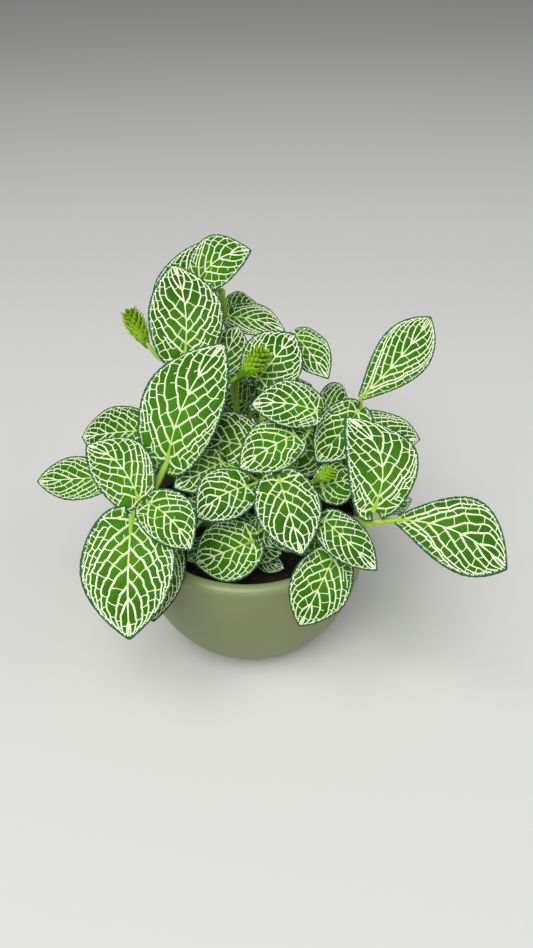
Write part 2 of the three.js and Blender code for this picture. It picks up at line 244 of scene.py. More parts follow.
ripple_bump = add_node(tree, "ShaderNodeBump", {"Strength": 0.12, "Distance": 0.0004, "Height": ripple})
gloss = add_node(tree, "ShaderNodeMapRange", {"Value": clouds, "To Min": 0.38, "To Max": 0.48})
feed(shader, {"Base Color": glaze_colour, "Normal": ripple_bump, "Roughness": gloss})

# The bare clay of the foot, wiped clean of glaze so that it doesn't stick to the kiln shelf.
bare_clay, tree, shader = new_material("bare stoneware", Roughness=0.85, IOR=1.5)
place = add_node(tree, "ShaderNodeTexCoord").outputs["Object"]
_, clay_colour = mottled(tree, place, 900, 4, "#B9AC93", "#D6CCB6")
feed(shader, {"Base Color": clay_colour})

pot_mesh = turned_mesh("bowl_pot", pot_profile(), POT_SIDES)
pot_mesh.materials.append(sage_glaze)
pot_mesh.materials.append(bare_clay)
for face in pot_mesh.polygons:
    if face.center.z < 0.1 * MM and face.normal.z < -0.5:
        face.material_index = 1
place_piece(pot_mesh, "pot_glaze", "pot")

# ---- Soil ----
# Moist, dark potting mix, pressed in to below the lip and a little higher in the middle. Its
# surface is rough, and crumbs of peat with a few chips of bark lie loose on it.
SOIL_HEIGHT = 57
SOIL_MOUND = 2.5
GAP = 0.3


def run_tree(mesh, tree, values, name):
    """The plain mesh that a Geometry Nodes tree makes of a mesh, with named input values."""
    carrier = add_object(name, mesh)
    modifier = carrier.modifiers.new("nodes", "NODES")
    modifier.node_group = tree
    for item in tree.interface.items_tree:
        if item.item_type == "SOCKET" and item.in_out == "INPUT" and item.name in values:
            modifier[item.identifier] = values[item.name]
    seen = carrier.evaluated_get(bpy.context.evaluated_depsgraph_get())
    made = bpy.data.meshes.new_from_object(seen)
    made.name = name
    carrier.modifiers.remove(modifier)
    bpy.data.objects.remove(carrier)
    return made


def new_tree(name, **sockets):
    """A Geometry Nodes tree with a mesh in, a mesh out and the named inputs."""
    tree = bpy.data.node_groups.new(name, "GeometryNodeTree")
    tree.interface.new_socket("Mesh", in_out="INPUT", socket_type="NodeSocketGeometry")
    tree.interface.new_socket("Mesh", in_out="OUTPUT", socket_type="NodeSocketGeometry")
    for socket, kind in sockets.items():
        tree.interface.new_socket(socket.replace("_", " "), in_out="INPUT", socket_type="NodeSocket" + kind)
    return tree, add_node(tree, "NodeGroupInput").outputs


def end_tree(tree, geometry, material):
    """Ends a tree: its instances are made real and take the material."""
    real = add_node(tree, "GeometryNodeRealizeInstances", {"Geometry": geometry})
    finished = add_node(tree, "GeometryNodeSetMaterial", {"Geometry": real, "Material": material})
    add_node(tree, "NodeGroupOutput", {0: finished})


# Peat and bark, milled and wetted: nearly black brown, with paler dry bits, quite matt.
potting_mix, tree, shader = new_material("moist potting mix", Roughness=0.92, IOR=1.4)
place = add_node(tree, "ShaderNodeTexCoord").outputs["Object"]
bits = add_node(tree, "ShaderNodeTexVoronoi", {"Vector": place, "Scale": 700})
peat, peat_colour = mottled(tree, place, 260, 5, "#0E0A08", "#2A1F17")
bit_tone = add_node(tree, "ShaderNodeSeparateColor", {0: bits.outputs["Color"]})
dry = add_node(tree, "ShaderNodeMapRange", {"Value": bit_tone, "From Min": 0.8, "To Max": 0.5})
soil_colour = add_node(
    tree, "ShaderNodeMix", {"Factor": dry, 6: peat_colour, 7: "#4A3828"}, data_type="RGBA"
)
peat_bump = add_node(tree, "ShaderNodeBump", {"Strength": 0.8, "Distance": 0.0012, "Height": peat})
feed(shader, {"Base Color": soil_colour, "Normal": peat_bump})

soil_wall = [(radius - GAP, z) for radius, z in wall_inside(6)]
(neck, neck_z), (lip, lip_z) = soil_wall[-2:]
soil_edge = neck + (lip - neck) * (SOIL_HEIGHT - neck_z) / (lip_z - neck_z)
soil_top = []
for i in range(46):
    share = 1 - i / 46
    soil_top.append((soil_edge * share, SOIL_HEIGHT + SOIL_MOUND * (1 - share**2)))
soil_profile = [(0, POT_FLOOR + GAP), (soil_wall[0][0] - 2.2, POT_FLOOR + GAP)]
soil_profile += soil_wall[:-1] + soil_top + [(0, SOIL_HEIGHT + SOIL_MOUND)]
soil_mesh = turned_mesh("potting_soil", soil_profile, 140)
lumps = random.Random(5)
for vertex in soil_mesh.vertices:
    if vertex.co.z > (SOIL_HEIGHT - 0.01) * MM:
        vertex.co.z += lumps.uniform(-0.9, 0.25) * MM
soil_mesh.materials.append(potting_mix)
place_piece(soil_mesh, "potting_soil", "soil")

# Crumbs lie on the soil's top, each sunk in by half.
tree, given = new_tree(
    "loose crumbs", Crumbs_Per_Area="Float", Smallest="Float", Largest="Float", Seed="Int"
)
normal = add_node(tree, "GeometryNodeInputNormal")
facing_up = add_node(tree, "ShaderNodeSeparateXYZ", {0: normal}).outputs["Z"]
upper = add_node(tree, "FunctionNodeCompare", {0: facing_up, 1: 0.5}, operation="GREATER_THAN")
scattered = add_node(
    tree, "GeometryNodeDistributePointsOnFaces",
    {"Mesh": given["Mesh"], "Selection": upper, "Density": given["Crumbs Per Area"], "Seed": given["Seed"]},
)
crumb = add_node(tree, "GeometryNodeMeshIcoSphere", {"Radius": 1, "Subdivisions": 2})
crumb_spot = add_node(tree, "GeometryNodeInputPosition")
crumb_noise = add_node(
    tree, "ShaderNodeTexNoise", {"Vector": crumb_spot, "Scale": 1.1, "Detail": 1}
).outputs["Color"]
knocks = add_node(tree, "ShaderNodeVectorMath", {0: crumb_noise, 1: (0.5, 0.5, 0.5)}, operation="SUBTRACT")
rough_crumb = add_node(tree, "GeometryNodeSetPosition", {"Geometry": crumb, "Offset": knocks})
turn = add_node(
    tree, "FunctionNodeRandomValue", {"Min": (0, 0, 0), "Max": (6.28, 6.28, 6.28), "Seed": given["Seed"]},
    data_type="FLOAT_VECTOR",
)
turned = add_node(tree, "FunctionNodeEulerToRotation", {0: turn})
size = add_node(
    tree, "FunctionNodeRandomValue", {2: given["Smallest"], 3: given["Largest"], "Seed": given["Seed"]},
    data_type="FLOAT",
)
placed = add_node(
    tree, "GeometryNodeInstanceOnPoints",
    {"Points": scattered, "Instance": rough_crumb, "Rotation": turned, "Scale": size},
)
end_tree(tree, placed, potting_mix)
crumbs_mesh = run_tree(
    soil_mesh, tree, {"Crumbs Per Area": 140000, "Smallest": 0.4 * MM, "Largest": 1.1 * MM, "Seed": 3},
    "soil_crumbs",
)
place_piece(crumbs_mesh, "potting_soil", "soil")

# ---- Stems and stalks ----
# Soft, round, yellow-green stems with a thickened joint where leaves grow, in pairs, on short
# stalks. Each grew as one piece from its root in the soil, and fine pale hairs cover it.
# For each stem: the path of its stem, which starts at the soil, and its leaves. A leaf: the
# path point it grows from, base and tip of its blade, width, roll about the midrib and fold of
# each half in degrees, how far the midrib arches up and sweeps to the left as shares of its
# length, and how tapered its base is (0 is rounded, 1 is narrow). Where a row ends early, the
# rest is as most leaves have it.
STEMS = {
    "stem_left": [
        [[-13, -12, 60], [-24, -22, 80], [-40, -33, 100]],
        [2, [-33, -14, 106], [-9, 24, 139], 34, 0, 10, 0.05, 0.07],
        [2, [-45, -42, 99], [-45, -77, 70], 36, 0, 8, 0.08, -0.01],
        [2, [-43, -33, 101], [-67, -8, 110], 25, 0, 10, 0.06, -0.12],
        [2, [-38, -38, 104], [-21, -55, 95], 21, 0, 10, 0.06, 0.08],
        [1, [-37, -33, 82], [-39, -61, 60], 24, 0, 10, 0.06],
        [1, [-26, -17, 87], [-24, -31, 80], 17, 0, 10, 0.06],
    ],
    "stem_far_left": [
        [[-18, 6, 60], [-36, 8, 82], [-50, 10, 92]],
        [2, [-60, 0, 86], [-96, 1, 83], 20, 0, 14, 0.04, 0, 0.3],
        [2, [-47, 20, 97], [-82, 34, 83], 25, 0, 10, 0.04],
        [1, [-40, 18, 80], [-56, 38, 72], 24, -20, 10, 0.04],
    ],
    "stem_top": [
        [[-8, 8, 60], [-17, 19, 98], [-27, 30, 124]],
        [2, [-27, 27, 131], [-32, 58, 160], 33, 0, 10, 0.05, -0.07],
        [2, [-29, 37, 130], [-22, 82, 160], 27, 0, 10, 0.05, 0.06],
        [2, [-13, 28, 119], [-4, 51, 133], 20],
        [1, [-21, 27, 97], [-40, 50, 88], 25, 0, 10, 0.06],
    ],
    "stem_back_left": [
        [[-4, 22, 60], [-7, 47, 106], [-10, 62, 131], [-11, 55, 148]],
        [3, [-21, 54, 154], [3, 58, 166], 23, 0, 10, 0.05, 0.12],
        [2, [-9, 60, 133], [18, 56, 127], 16, 0, 10, 0.05, 0.05],
        [2, [-8, 66, 133], [4, 75, 133], 16],
        [1, [-13, 50, 108], [-28, 80, 94], 26],
        [1, [-5, 50, 106], [8, 80, 96], 26],
        [1, [23, 56, 125], [37, 31, 116], 19],
    ],
    "stem_back": [
        [[3, 14, 60], [7, 26, 98], [9, 34, 122]],
        [2, [5, 27, 119], [22, 44, 132], 28],
        [1, [12, 31, 99], [31, 54, 98], 24, 0, 10, 0.06],
    ],
    "stem_right": [
        [[16, 4, 60], [32, 6, 90], [49, 6, 115]],
        [2, [49, 8, 121], [80, 33, 145], 23, 0, 10, 0.05, -0.03, 0.8],
        [2, [47, 2, 118], [29, -11, 101], 22, 0, 30],
        [2, [50, 5, 113], [76, 5, 100], 17, 0, 10, 0.05, -0.1, 0.3],
        [1, [38, 10, 88], [62, 6, 82], 22, 0, 10, 0.06],
        [1, [33, 2, 96], [14, -1, 102], 24],
    ],
    "stem_right_low": [
        [[16, -10, 60], [36, -26, 82], [46, -50, 103]],
        [2, [57, -51, 105], [94, -70, 98], 28, 0, 10, 0.05, 0.11, 0.8],
        [2, [48, -48, 108], [40, -12, 125], 28, 0, 10, 0.05, -0.2],
        [2, [50, -38, 99], [66, -33, 99], 9, 0, 10, 0.05, 0, 0.5],
    ],
    "stem_front": [
        [[8, -18, 60], [22, -34, 76], [32, -44, 88]],
        [2, [34, -51, 86], [20, -66, 62], 24],
        [2, [30, -43, 98.5], [49, -62, 89.5], 17],
        [1, [24, -34, 84], [34, -50, 82], 16],
    ],
    "stem_middle": [
        [[6, -4, 60], [10, -12, 88], [17, -19, 103]],
        [2, [13, -30, 108], [21, -56, 92], 26],
        [2, [0, -28, 103], [-20, -39, 96], 22, 0, 10, 0.05, -0.1],
        [2, [20, -11, 116], [-3, -23, 108], 22, 0, 10, 0.05, -0.03],
        [2, [29, -6, 124], [2, -5, 127], 20, 0, 10, 0.05, -0.06],
        [1, [31, -17, 93], [46, -12, 93], 20],
        [1, [1, 2, 100], [-24, 12, 99], 28],
        [1, [-11, -6, 98], [-31, -20, 96], 19],
    ],
    "stem_front_left": [
        [[-4, -20, 60], [-5, -28, 74], [0, -36, 82]],
        [2, [2, -38, 82], [-23, -37, 68], 26],
        [2, [0, -33, 76], [14, -36, 72], 15],
        [1, [4, -28, 86], [12, -39, 78], 14],
        [2, [11, -37, 91], [20, -51, 88], 13],
        [1, [-17, -25, 68], [-27, -34, 66], 12],
        [1, [1, -26, 80], [-20, -28, 73], 17],
        [1, [4, -34, 67], [15, -38, 65], 9],
    ],
    "stem_back_low": [
        [[0, 28, 60], [-1, 42, 74], [0, 50, 84]],
        [2, [-1, 53, 87], [-13, 78, 80], 29, 20, 10, 0.06],
        [2, [4, 53, 84], [24, 72, 76], 28, -20, 10, 0.06],
        [1, [-9, 47, 78], [-32, 60, 80], 22, 20, 10, 0.06],
    ],
    "stem_back_right": [
        [[20, 18, 60], [28, 30, 78], [33, 38, 92]],
        [2, [36, 40, 94], [52, 56, 84], 24, -10, 10, 0.06],
        [2, [31, 42, 88], [20, 62, 83], 22, 10, 10, 0.06],
        [1, [34, 24, 80], [58, 24, 74], 24, -10, 10, 0.06],
    ],
}

# Flower spikes of overlapping bracts: the stem they belong to, the path point where their
# stalk starts, where it bends, foot and tip of the spike, and its widest radius.
SPIKES = {
    "spike_left": ["stem_top", 2, [-40, 41, 122], [-48, 50, 127], [-56, 58, 141], 6.5],
    "spike_back": ["stem_top", 1, [-14, 18, 117], [-1, 20, 127], [11, 24, 137], 6.5],
    "spike_middle": ["stem_middle", 1, [22, -20, 95], [29, -21, 100], [37, -17, 103], 4],
}
ROOT_DEPTH = 14
STEM_RADIUS = 1.5
STALK_RADIUS = 0.95
STALK_SIDES = 14


def vector(point):
    return np.array(point, float)


def unit(direction):
    return direction / np.linalg.norm(direction)


def smooth_path(points, spacing):
    """Points along a centripetal Catmull-Rom curve through the given ones."""
    points = [vector(p) for p in points]
    ends = [2 * points[0] - points[1], *points, 2 * points[-1] - points[-2]]
    path = []
    for p0, p1, p2, p3 in zip(ends, ends[1:], ends[2:], ends[3:]):
        t1 = np.linalg.norm(p1 - p0) ** 0.5
        t2 = t1 + np.linalg.norm(p2 - p1) ** 0.5
        t3 = t2 + np.linalg.norm(p3 - p2) ** 0.5
        count = max(2, round(np.linalg.norm(p2 - p1) / spacing))
        for i in range(count):
            t = t1 + (t2 - t1) * i / count
            a1 = (p0 * (t1 - t) + p1 * t) / t1
            a2 = (p1 * (t2 - t) + p2 * (t - t1)) / (t2 - t1)
            a3 = (p2 * (t3 - t) + p3 * (t - t2)) / (t3 - t2)
            b1 = (a1 * (t2 - t) + a2 * t) / t2
            b2 = (a2 * (t3 - t) + a3 * (t - t1)) / (t3 - t1)
            path.append((b1 * (t2 - t) + b2 * (t - t1)) / (t2 - t1))
    return [*path, points[-1]]


# Living stem: a smooth skin over watery green tissue, so it's satin, and light sinks into it.
# It is freshest at the top, and duller and browner down by the soil.
stem_skin, tree, shader = new_material(
    "fresh green stem", Roughness=0.5, IOR=1.4, Subsurface_Weight=0.15, Subsurface_Scale=0.001
)
place = add_node(tree, "ShaderNodeTexCoord").outputs["Object"]
height = add_node(tree, "ShaderNodeSeparateXYZ", {0: place}).outputs["Z"]
freshness = add_node(tree, "ShaderNodeMapRange", {"Value": height, "From Min": 0.058, "From Max": 0.09})
mottle, grown_green = mottled(tree, place, 350, 3, "#84AE1E", "#A6C93C")
stem_colour = add_node(
    tree, "ShaderNodeMix", {"Factor": freshness, 6: "#5E6B22", 7: grown_green}, data_type="RGBA"
)
stem_bump = add_node(tree, "ShaderNodeBump", {"Strength": 0.3, "Distance": 0.0003, "Height": mottle})
feed(shader, {"Base Color": stem_colour, "Normal": stem_bump})

# The rods: a round section is swept along each path, as thick as the path says at each point.
rods_tree, given = new_tree("rods along paths", Sides="Int")
path_curves = add_node(rods_tree, "GeometryNodeMeshToCurve", {"Mesh": given["Mesh"]})
section = add_node(
    rods_tree, "GeometryNodeCurvePrimitiveCircle", {"Resolution": given["Sides"], "Radius": 1}
)
thickness = add_node(rods_tree, "GeometryNodeInputNamedAttribute", {"Name": "thickness"}, data_type="FLOAT")
swept = add_node(
    rods_tree, "GeometryNodeCurveToMesh",
    {"Curve": path_curves, "Profile Curve": section, "Scale": thickness, "Fill Caps": True},
)
end_tree(rods_tree, swept, stem_skin)

# The hairs: fine, pale, and each leaning a little its own way.
hair_white, _, _ = new_material("pale plant hair", Base_Color="#DCE8B8", Roughness=0.6)
hairs_tree, given = new_tree("stem hairs", Hairs_Per_Area="Float", Hair_Length="Float", Seed="Int")
rooted = add_node(
    hairs_tree, "GeometryNodeDistributePointsOnFaces",
    {"Mesh": given["Mesh"], "Density": given["Hairs Per Area"], "Seed": given["Seed"]},
)
hair = add_node(
    hairs_tree, "GeometryNodeMeshCone",
    {"Vertices": 3, "Radius Top": 0.01, "Radius Bottom": 0.07, "Depth": 1},
)
lean = add_node(
    hairs_tree, "FunctionNodeRandomValue",
    {"Min": (-0.4, -0.4, -0.4), "Max": (0.4, 0.4, 0.4), "Seed": given["Seed"]}, data_type="FLOAT_VECTOR",
)
lean_turn = add_node(hairs_tree, "FunctionNodeEulerToRotation", {0: lean})
leaning = add_node(
    hairs_tree, "FunctionNodeRotateRotation",
    {"Rotation": rooted.outputs["Rotation"], "Rotate By": lean_turn},
)
hair_size = add_node(
    hairs_tree, "ShaderNodeVectorMath", {0: (1, 1, 1), "Scale": given["Hair Length"]}, operation="SCALE"
)
hairs = add_node(
    hairs_tree, "GeometryNodeInstanceOnPoints",
    {"Points": rooted, "Instance": hair, "Rotation": leaning, "Scale": hair_size},
)
end_tree(hairs_tree, hairs, hair_white)


def mark_points(mesh, name, values, kind="FLOAT"):
    """Gives the points of a mesh an attribute."""
    layer = mesh.attributes.new(name, kind, "POINT")
    layer.data.foreach_set("value" if kind == "FLOAT" else "vector", np.ravel(values))


def paths_mesh(name, paths):
    """A mesh of bare edges along paths."""
    edges = []
    first = 0
    for path in paths:
        edges += [(first + i, first + i + 1) for i in range(len(path) - 1)]
        first += len(path)
    mesh = bpy.data.meshes.new(name + "_paths")
    mesh.from_pydata([Vector(p) * MM for path in paths for p in path], edges, [])
    return mesh


def rods_mesh(name, rods):
    """Round rods joined in one mesh. A rod is a list of (point, radius) pairs."""
    lines = paths_mesh(name, [[point for point, _ in rod] for rod in rods])
    mark_points(lines, "thickness", [radius * MM for rod in rods for _, radius in rod])
    mesh = run_tree(lines, rods_tree, {"Sides": STALK_SIDES}, name)
    mesh.shade_smooth()
    return mesh


def stem_rod(path, joints):
    """The stem's rod, with a swelling at each joint and a round, closed tip."""
    x, y, z = path[0]
    points = smooth_path([(x, y, z - ROOT_DEPTH), (x, y, z - ROOT_DEPTH / 2), *path], 0.7)
    rod = []
    for point in points:
        nearest = min(np.linalg.norm(point - joint) for joint in joints)
        swelling = 0.45 * math.exp(-((nearest / 2.2) ** 2))
        height = (point[2] - z) / (path[-1][2] - z)
        rod.append((point, STEM_RADIUS * (1.04 - 0.16 * max(0, height)) + swelling))
    ahead = unit(points[-1] - points[-2])
    tip_radius = rod[-1][1]
    for angle in np.radians((25, 50, 70, 85)):
        rod.append((points[-1] + ahead * tip_radius * np.sin(angle), tip_radius * np.cos(angle)))
    return rod

# ---- Leaves ----
# Thin oval blades with a finely scalloped, slightly wavy edge. A cream-white net of veins
# covers each: a midrib, side veins that bend towards the tip and fork near the edge, and fine
# rungs between them. The green between the veins is puffed up, and a dark rim has no white.
BLADE_THICKNESS = 0.4
BASE_POWER = 0.38  # of a rounded base
NARROW_POWER = 1.1  # of a narrow base
TIP_POWER = 2
LOBE = 0.16
BASE_END = 0.12
TIP_END = 0.04
BLADE_ROWS = 6  # of the solid's blade, whose edge waves once up and down in two of them
SMALL_BLADE = 30
WAVE = 0.5
CURL = 0.5
LIGHT = unit(vector((0.05, -0.68, 0.73)))
SKIN_GRID = 0.65
PUFF = 0.34
SCALLOP = 0.13
SCALLOP_SPACING = 2.4
# Widths of veins and sizes of cells are those of a blade as wide as this. Others scale by a
# power of their own width.
FULL_WIDTH = 34
MIDRIB = 1.55
RIB_END = 0.97  # of the midrib, as a share of the blade's length
SIDE_VEIN = 0.98
FINE_VEIN = 0.37
INNER_CELL = 4.4
OUTER_CELL = 2.05
VEIN_STEP = 0.4
SPREAD = 0.62  # how far ahead of its start a side vein ends, as a share of the blade's length
BASE_FAN = 0.22  # up to where the lowest side veins stand out more squarely
BEND_POWER = 3.5  # side veins bend late, near the rim
FIRST_VEIN = 0.01  # where the lowest side vein leaves the midrib, as a share of its length
VEINS_REACH = 0.88  # from there to the last side vein
BASE_CROWDING = 1.25  # side veins leave the midrib closer together near the base
TRACE_STEP = 0.25  # between the points that stand for a vein when gaps to it are taken
RIM = 1.1
# Spans are in cells of the net: between rungs, and of a strip so wide that a vein forks in it.
RUNG_SPACING = 1.3
FORK_SPAN = 1.35
FREE_ENDS = 0.15  # share of the long rungs that end freely
LEAF_AGES = (-0.3, 0.15)  # from young, pale green to old, dark green


class Blade:
    """The shape of one blade: its flat outline, and the curved surface that it is laid on."""

    def __init__(self, base, tip, width, roll=0, fold=10, arch=0.05, sweep=0, taper=0):
        self.start = vector(base)
        reach = vector(tip) - self.start
        self.length = np.linalg.norm(reach)
        self.forward = reach / self.length
        up = unit(LIGHT - self.forward * LIGHT.dot(self.forward))
        turn = math.radians(-roll)
        self.up = up * math.cos(turn) + np.cross(self.forward, up) * math.sin(turn)
        self.right = np.cross(self.forward, self.up)
        self.width = width
        self.slope = math.tan(math.radians(fold))
        self.arch, self.sweep, self.taper = arch, sweep, taper
        self.rows = BLADE_ROWS if self.length > SMALL_BLADE else BLADE_ROWS - 1
        self.size = (width / FULL_WIDTH) ** 0.6

    def half_width(self, along):
        power = BASE_POWER + (NARROW_POWER - BASE_POWER) * self.taper
        widest = (power / (power + TIP_POWER)) ** (1 / TIP_POWER)
        most = widest**power * (1 - widest**TIP_POWER)
        end = BASE_END + (TIP_END - BASE_END) * along
        share = end + (1 - end) * along**power * (1 - along**TIP_POWER) / most
        return self.width / 2 * share

    def lobe(self, along, across):
        """How far the base lobes reach back beside the stalk."""
        return LOBE * (1 - self.taper) * self.width * across**2 * (1 - along) ** 4

    def flat(self, along, out):
        """Places on the flattened blade: how far aside of its midrib and ahead of its base."""
        aside = out * self.half_width(along)
        return np.stack([aside, along * self.length - self.lobe(along, out)], -1)

    def unflat(self, places):
        """The shares along and out at places on a half of the flattened blade."""
        low, high = np.zeros(len(places)), np.ones(len(places))
        for _ in range(15):
            along = (low + high) / 2
            out = places[:, 0] / self.half_width(along)
            behind = along * self.length - self.lobe(along, out) < places[:, 1]
            behind |= (out > 1) & (along < 0.3)
            low, high = np.where(behind, along, low), np.where(behind, high, along)
        return low, np.clip(places[:, 0] / self.half_width(low), 0, 0.985)

    def outline(self):
        along = (1 - np.cos(np.pi * np.linspace(0, 1, 150))) / 2
        behind = self.flat(np.zeros(12), np.linspace(0.4, 1, 12))
        return np.concatenate([behind, self.flat(along, np.ones(150))])

    def surface(self, along, across):
        """Points of the middle surface. Along runs from 0 to 1, and across from -1 to 1."""
        bow = 4 * along * (1 - along)
        half = self.half_width(along)
        turns = 2 * np.pi * along * self.length / SCALLOP_SPACING + 2 * np.sign(across)
        scallop = SCALLOP * np.sin(turns + np.sin(turns * 0.37)) * np.abs(across) ** 6 * bow
        side = np.abs(across) * half
        waves = self.rows * np.arccos(1 - 2 * along)
        wave = -WAVE * across**2 * np.cos(waves) * bow
        lift = self.slope * side * (1 - CURL * side / (self.width / 2)) + wave
        ahead = self.length * along - self.lobe(along, across)
        aside = across * (half + scallop) - self.sweep * self.length * bow
        above = self.arch * self.length * bow + lift
        return (
            self.start
            + ahead[..., None] * self.forward
            + aside[..., None] * self.right
            + above[..., None] * self.up
        )

    def normal(self, along, across):
        step = 0.004
        ahead = self.surface(np.minimum(along + step, 1), across)
        behind = self.surface(np.maximum(along - step, 0), across)
        over = self.surface(along, across + step) - self.surface(along, across - step)
        normal = np.cross(over, ahead - behind)
        return normal / np.linalg.norm(normal, axis=-1, keepdims=True)

    def thin(self, across):
        """Half the thickness, which is less at the edge."""
        return (1 - 0.7 * np.abs(across) ** 6) * BLADE_THICKNESS / 2


def spaced(way, step, first=0, past=0):
    """Points at even steps along a path, from a first distance to as far as past its end."""
    gone = np.concatenate([[0], np.cumsum(np.linalg.norm(np.diff(way, axis=0), axis=1))])
    spots = np.arange(first, gone[-1] + past, step)
    return np.stack([np.interp(spots, gone, way[:, 0]), np.interp(spots, gone, way[:, 1])], 1)


def gaps(way, others):
    """How far each point of a path is from the nearest of the others."""
    apart = way[:, None] - others[None]
    return np.sqrt((apart**2).sum(axis=2)).min(axis=1)


def free_part(way, free):
    """The part of a path up to its first point that isn't free."""
    return way[: len(way) if free.all() else int(np.argmin(free))]


class HalfNet:
    """The veins of one half of a blade, as paths on the flattened blade in millimetres."""

    def __init__(self, blade, seed, bend):
        self.blade = blade
        self.bend = bend
        self.dice = random.Random(seed)
        self.edge = blade.outline()
        self.margin = 0.75 * RIM * blade.size  # from the edge to the ends of the veins
        self.count = max(5, min(7, round(4 + blade.length / 14)))
        self.paths = []
        ahead = np.arange(0, RIB_END * blade.length, TRACE_STEP)
        self.grown = np.stack([0 * ahead, ahead], 1)  # points on all veins so far
        first = self.dice.uniform(0.1, 0.5)
        ways = [self.vein(first + i + self.dice.uniform(-0.12, 0.12)) for i in range(self.count)]
        for heading in (-62, -28):
            ways.insert(0, self.lobe_vein(heading + self.dice.uniform(-6, 6)))
        for way in ways:
            self.draw(way, SIDE_VEIN)
        for way in ways:
            self.fill(way, 0)
        self.draw_loop()

    def number(self, place):
        """Which vein a place lies on: whole numbers are side veins, and others are between."""
        (along,), (out,) = self.blade.unflat(place[None])
        start = along - SPREAD * out * along / (along + BASE_FAN) - self.bend * out**BEND_POWER
        share = (start - FIRST_VEIN) / VEINS_REACH
        return (self.count - 0.5) * math.copysign(abs(share) ** (1 / BASE_CROWDING), share)

    def vein(self, number):
        """The path of a vein from the midrib to the rim, in steps of VEIN_STEP."""
        share = number / (self.count - 0.5)
        start = FIRST_VEIN + VEINS_REACH * math.copysign(abs(share) ** BASE_CROWDING, share)
        out = np.linspace(0, 1, 160)
        bent = start + self.bend * out**BEND_POWER
        along = bent + SPREAD * out
        for _ in range(8):
            level = np.maximum(along, 0)
            along = bent + SPREAD * out * level / (level + BASE_FAN)
        begun = (along >= 0) & (along < 1)
        way = self.blade.flat(along[begun], out[begun])
        if len(way) < 3:
            return way[:0]
        return self.inside(spaced(way, VEIN_STEP))

    def lobe_vein(self, heading):
        """A vein that leaves the stalk backwards and curves round inside a base lobe."""
        steps = np.arange(0, 0.8 * self.blade.width, VEIN_STEP)
        turning = np.radians(heading + steps * 150 / self.blade.width)
        way = np.cumsum(np.stack([np.cos(turning), np.sin(turning)], 1), axis=0) * VEIN_STEP
        way = self.inside(way + (0, 0.8))
        return self.until_crowded(way, 3)

    def inside(self, way):
        """The part of a path up to the rim."""
        is_in = gaps(way, self.edge) > self.margin
        is_in[:4] = True
        return free_part(way, is_in)

    def until_crowded(self, way, cell):
        """The part of a path up to where it would run too close beside another vein."""
        free = gaps(way, self.grown) > 0.45 * self.cell(way)
        free |= np.arange(len(way)) * VEIN_STEP < 0.8 * cell
        return free_part(way, free)

    def cell(self, way):
        """The size of the net's cells at points: smaller towards the edge."""
        share = np.clip(gaps(way, self.edge) / (0.4 * self.blade.width), 0, 1)
        return self.blade.size * (OUTER_CELL + (INNER_CELL - OUTER_CELL) * share)

    def fill(self, way, level):
        """Rungs from the lower side of a vein to the next vein or the rim, and a fork wherever
        the strip there has grown wide."""
        if len(way) < 4:
            return
        forks = []
        steps = np.arange(0, 14, 0.2)
        cells = self.cell(way)
        gone = self.dice.uniform(0.4, 0.7) * cells[0]
        while gone < VEIN_STEP * (len(way) - 2):
            i = int(gone / VEIN_STEP)
            cell = cells[i]
            heading = way[i + 1] - way[i]
            lean = math.atan2(heading[1], heading[0]) - math.pi / 2 + self.dice.uniform(-0.4, 0.4)
            rung = way[i] + steps[:, None] * np.array([math.cos(lean), math.sin(lean)])
            is_open = (gaps(rung, self.edge) > self.margin) & (rung[:, 0] >= 0)
            is_open &= (gaps(rung, self.grown) > 0.28) | (steps < 0.6)
            is_open[0] = True
            rung = rung[: len(free_part(rung, is_open)) + 1]
            span = steps[len(rung) - 1]
            if span > FORK_SPAN * cell and level < 4:
                centre = rung[int(len(rung) * self.dice.uniform(0.4, 0.6))]
                fork = self.vein(self.number(centre))
                if len(fork) > 3:
                    fork = fork[np.argmin(np.linalg.norm(fork - centre, axis=1)) :]
                    fork = self.until_crowded(fork, cell)
                    self.draw(fork, FINE_VEIN * 1.35)
                    forks.append(fork)
            if span > 0.3 * cell:
                ends_free = span > cell and self.dice.random() < FREE_ENDS
                self.draw_rung(rung[: len(rung) // 2] if ends_free else rung)
            gone += RUNG_SPACING * cell * self.dice.uniform(0.7, 1.3)
        for fork in forks:
            self.fill(fork, level + 1)

    def grow(self, way, width):
        """Adds a path to the net."""
        self.paths.append((way, width * self.blade.size))
        self.grown = np.concatenate([self.grown, spaced(way, TRACE_STEP, past=TRACE_STEP)])

    def draw(self, way, width):
        if len(way) > 3:
            picked = way[np.unique(np.append(np.arange(0, len(way), 2), len(way) - 1))]
            self.grow(picked, np.linspace(width, FINE_VEIN * 0.95, len(picked)))

    def draw_rung(self, rung):
        picked = rung[np.linspace(0, len(rung) - 1, 4).astype(int)]
        heading = unit(picked[-1] - picked[0])
        bow = self.dice.uniform(-0.45, 0.45) * self.blade.size * np.array([0, 1, 0.7, 0])
        bent = picked + bow[:, None] * np.array([-heading[1], heading[0]])
        self.grow(bent, np.array([1.25, 0.85, 0.85, 1.25]) * FINE_VEIN)

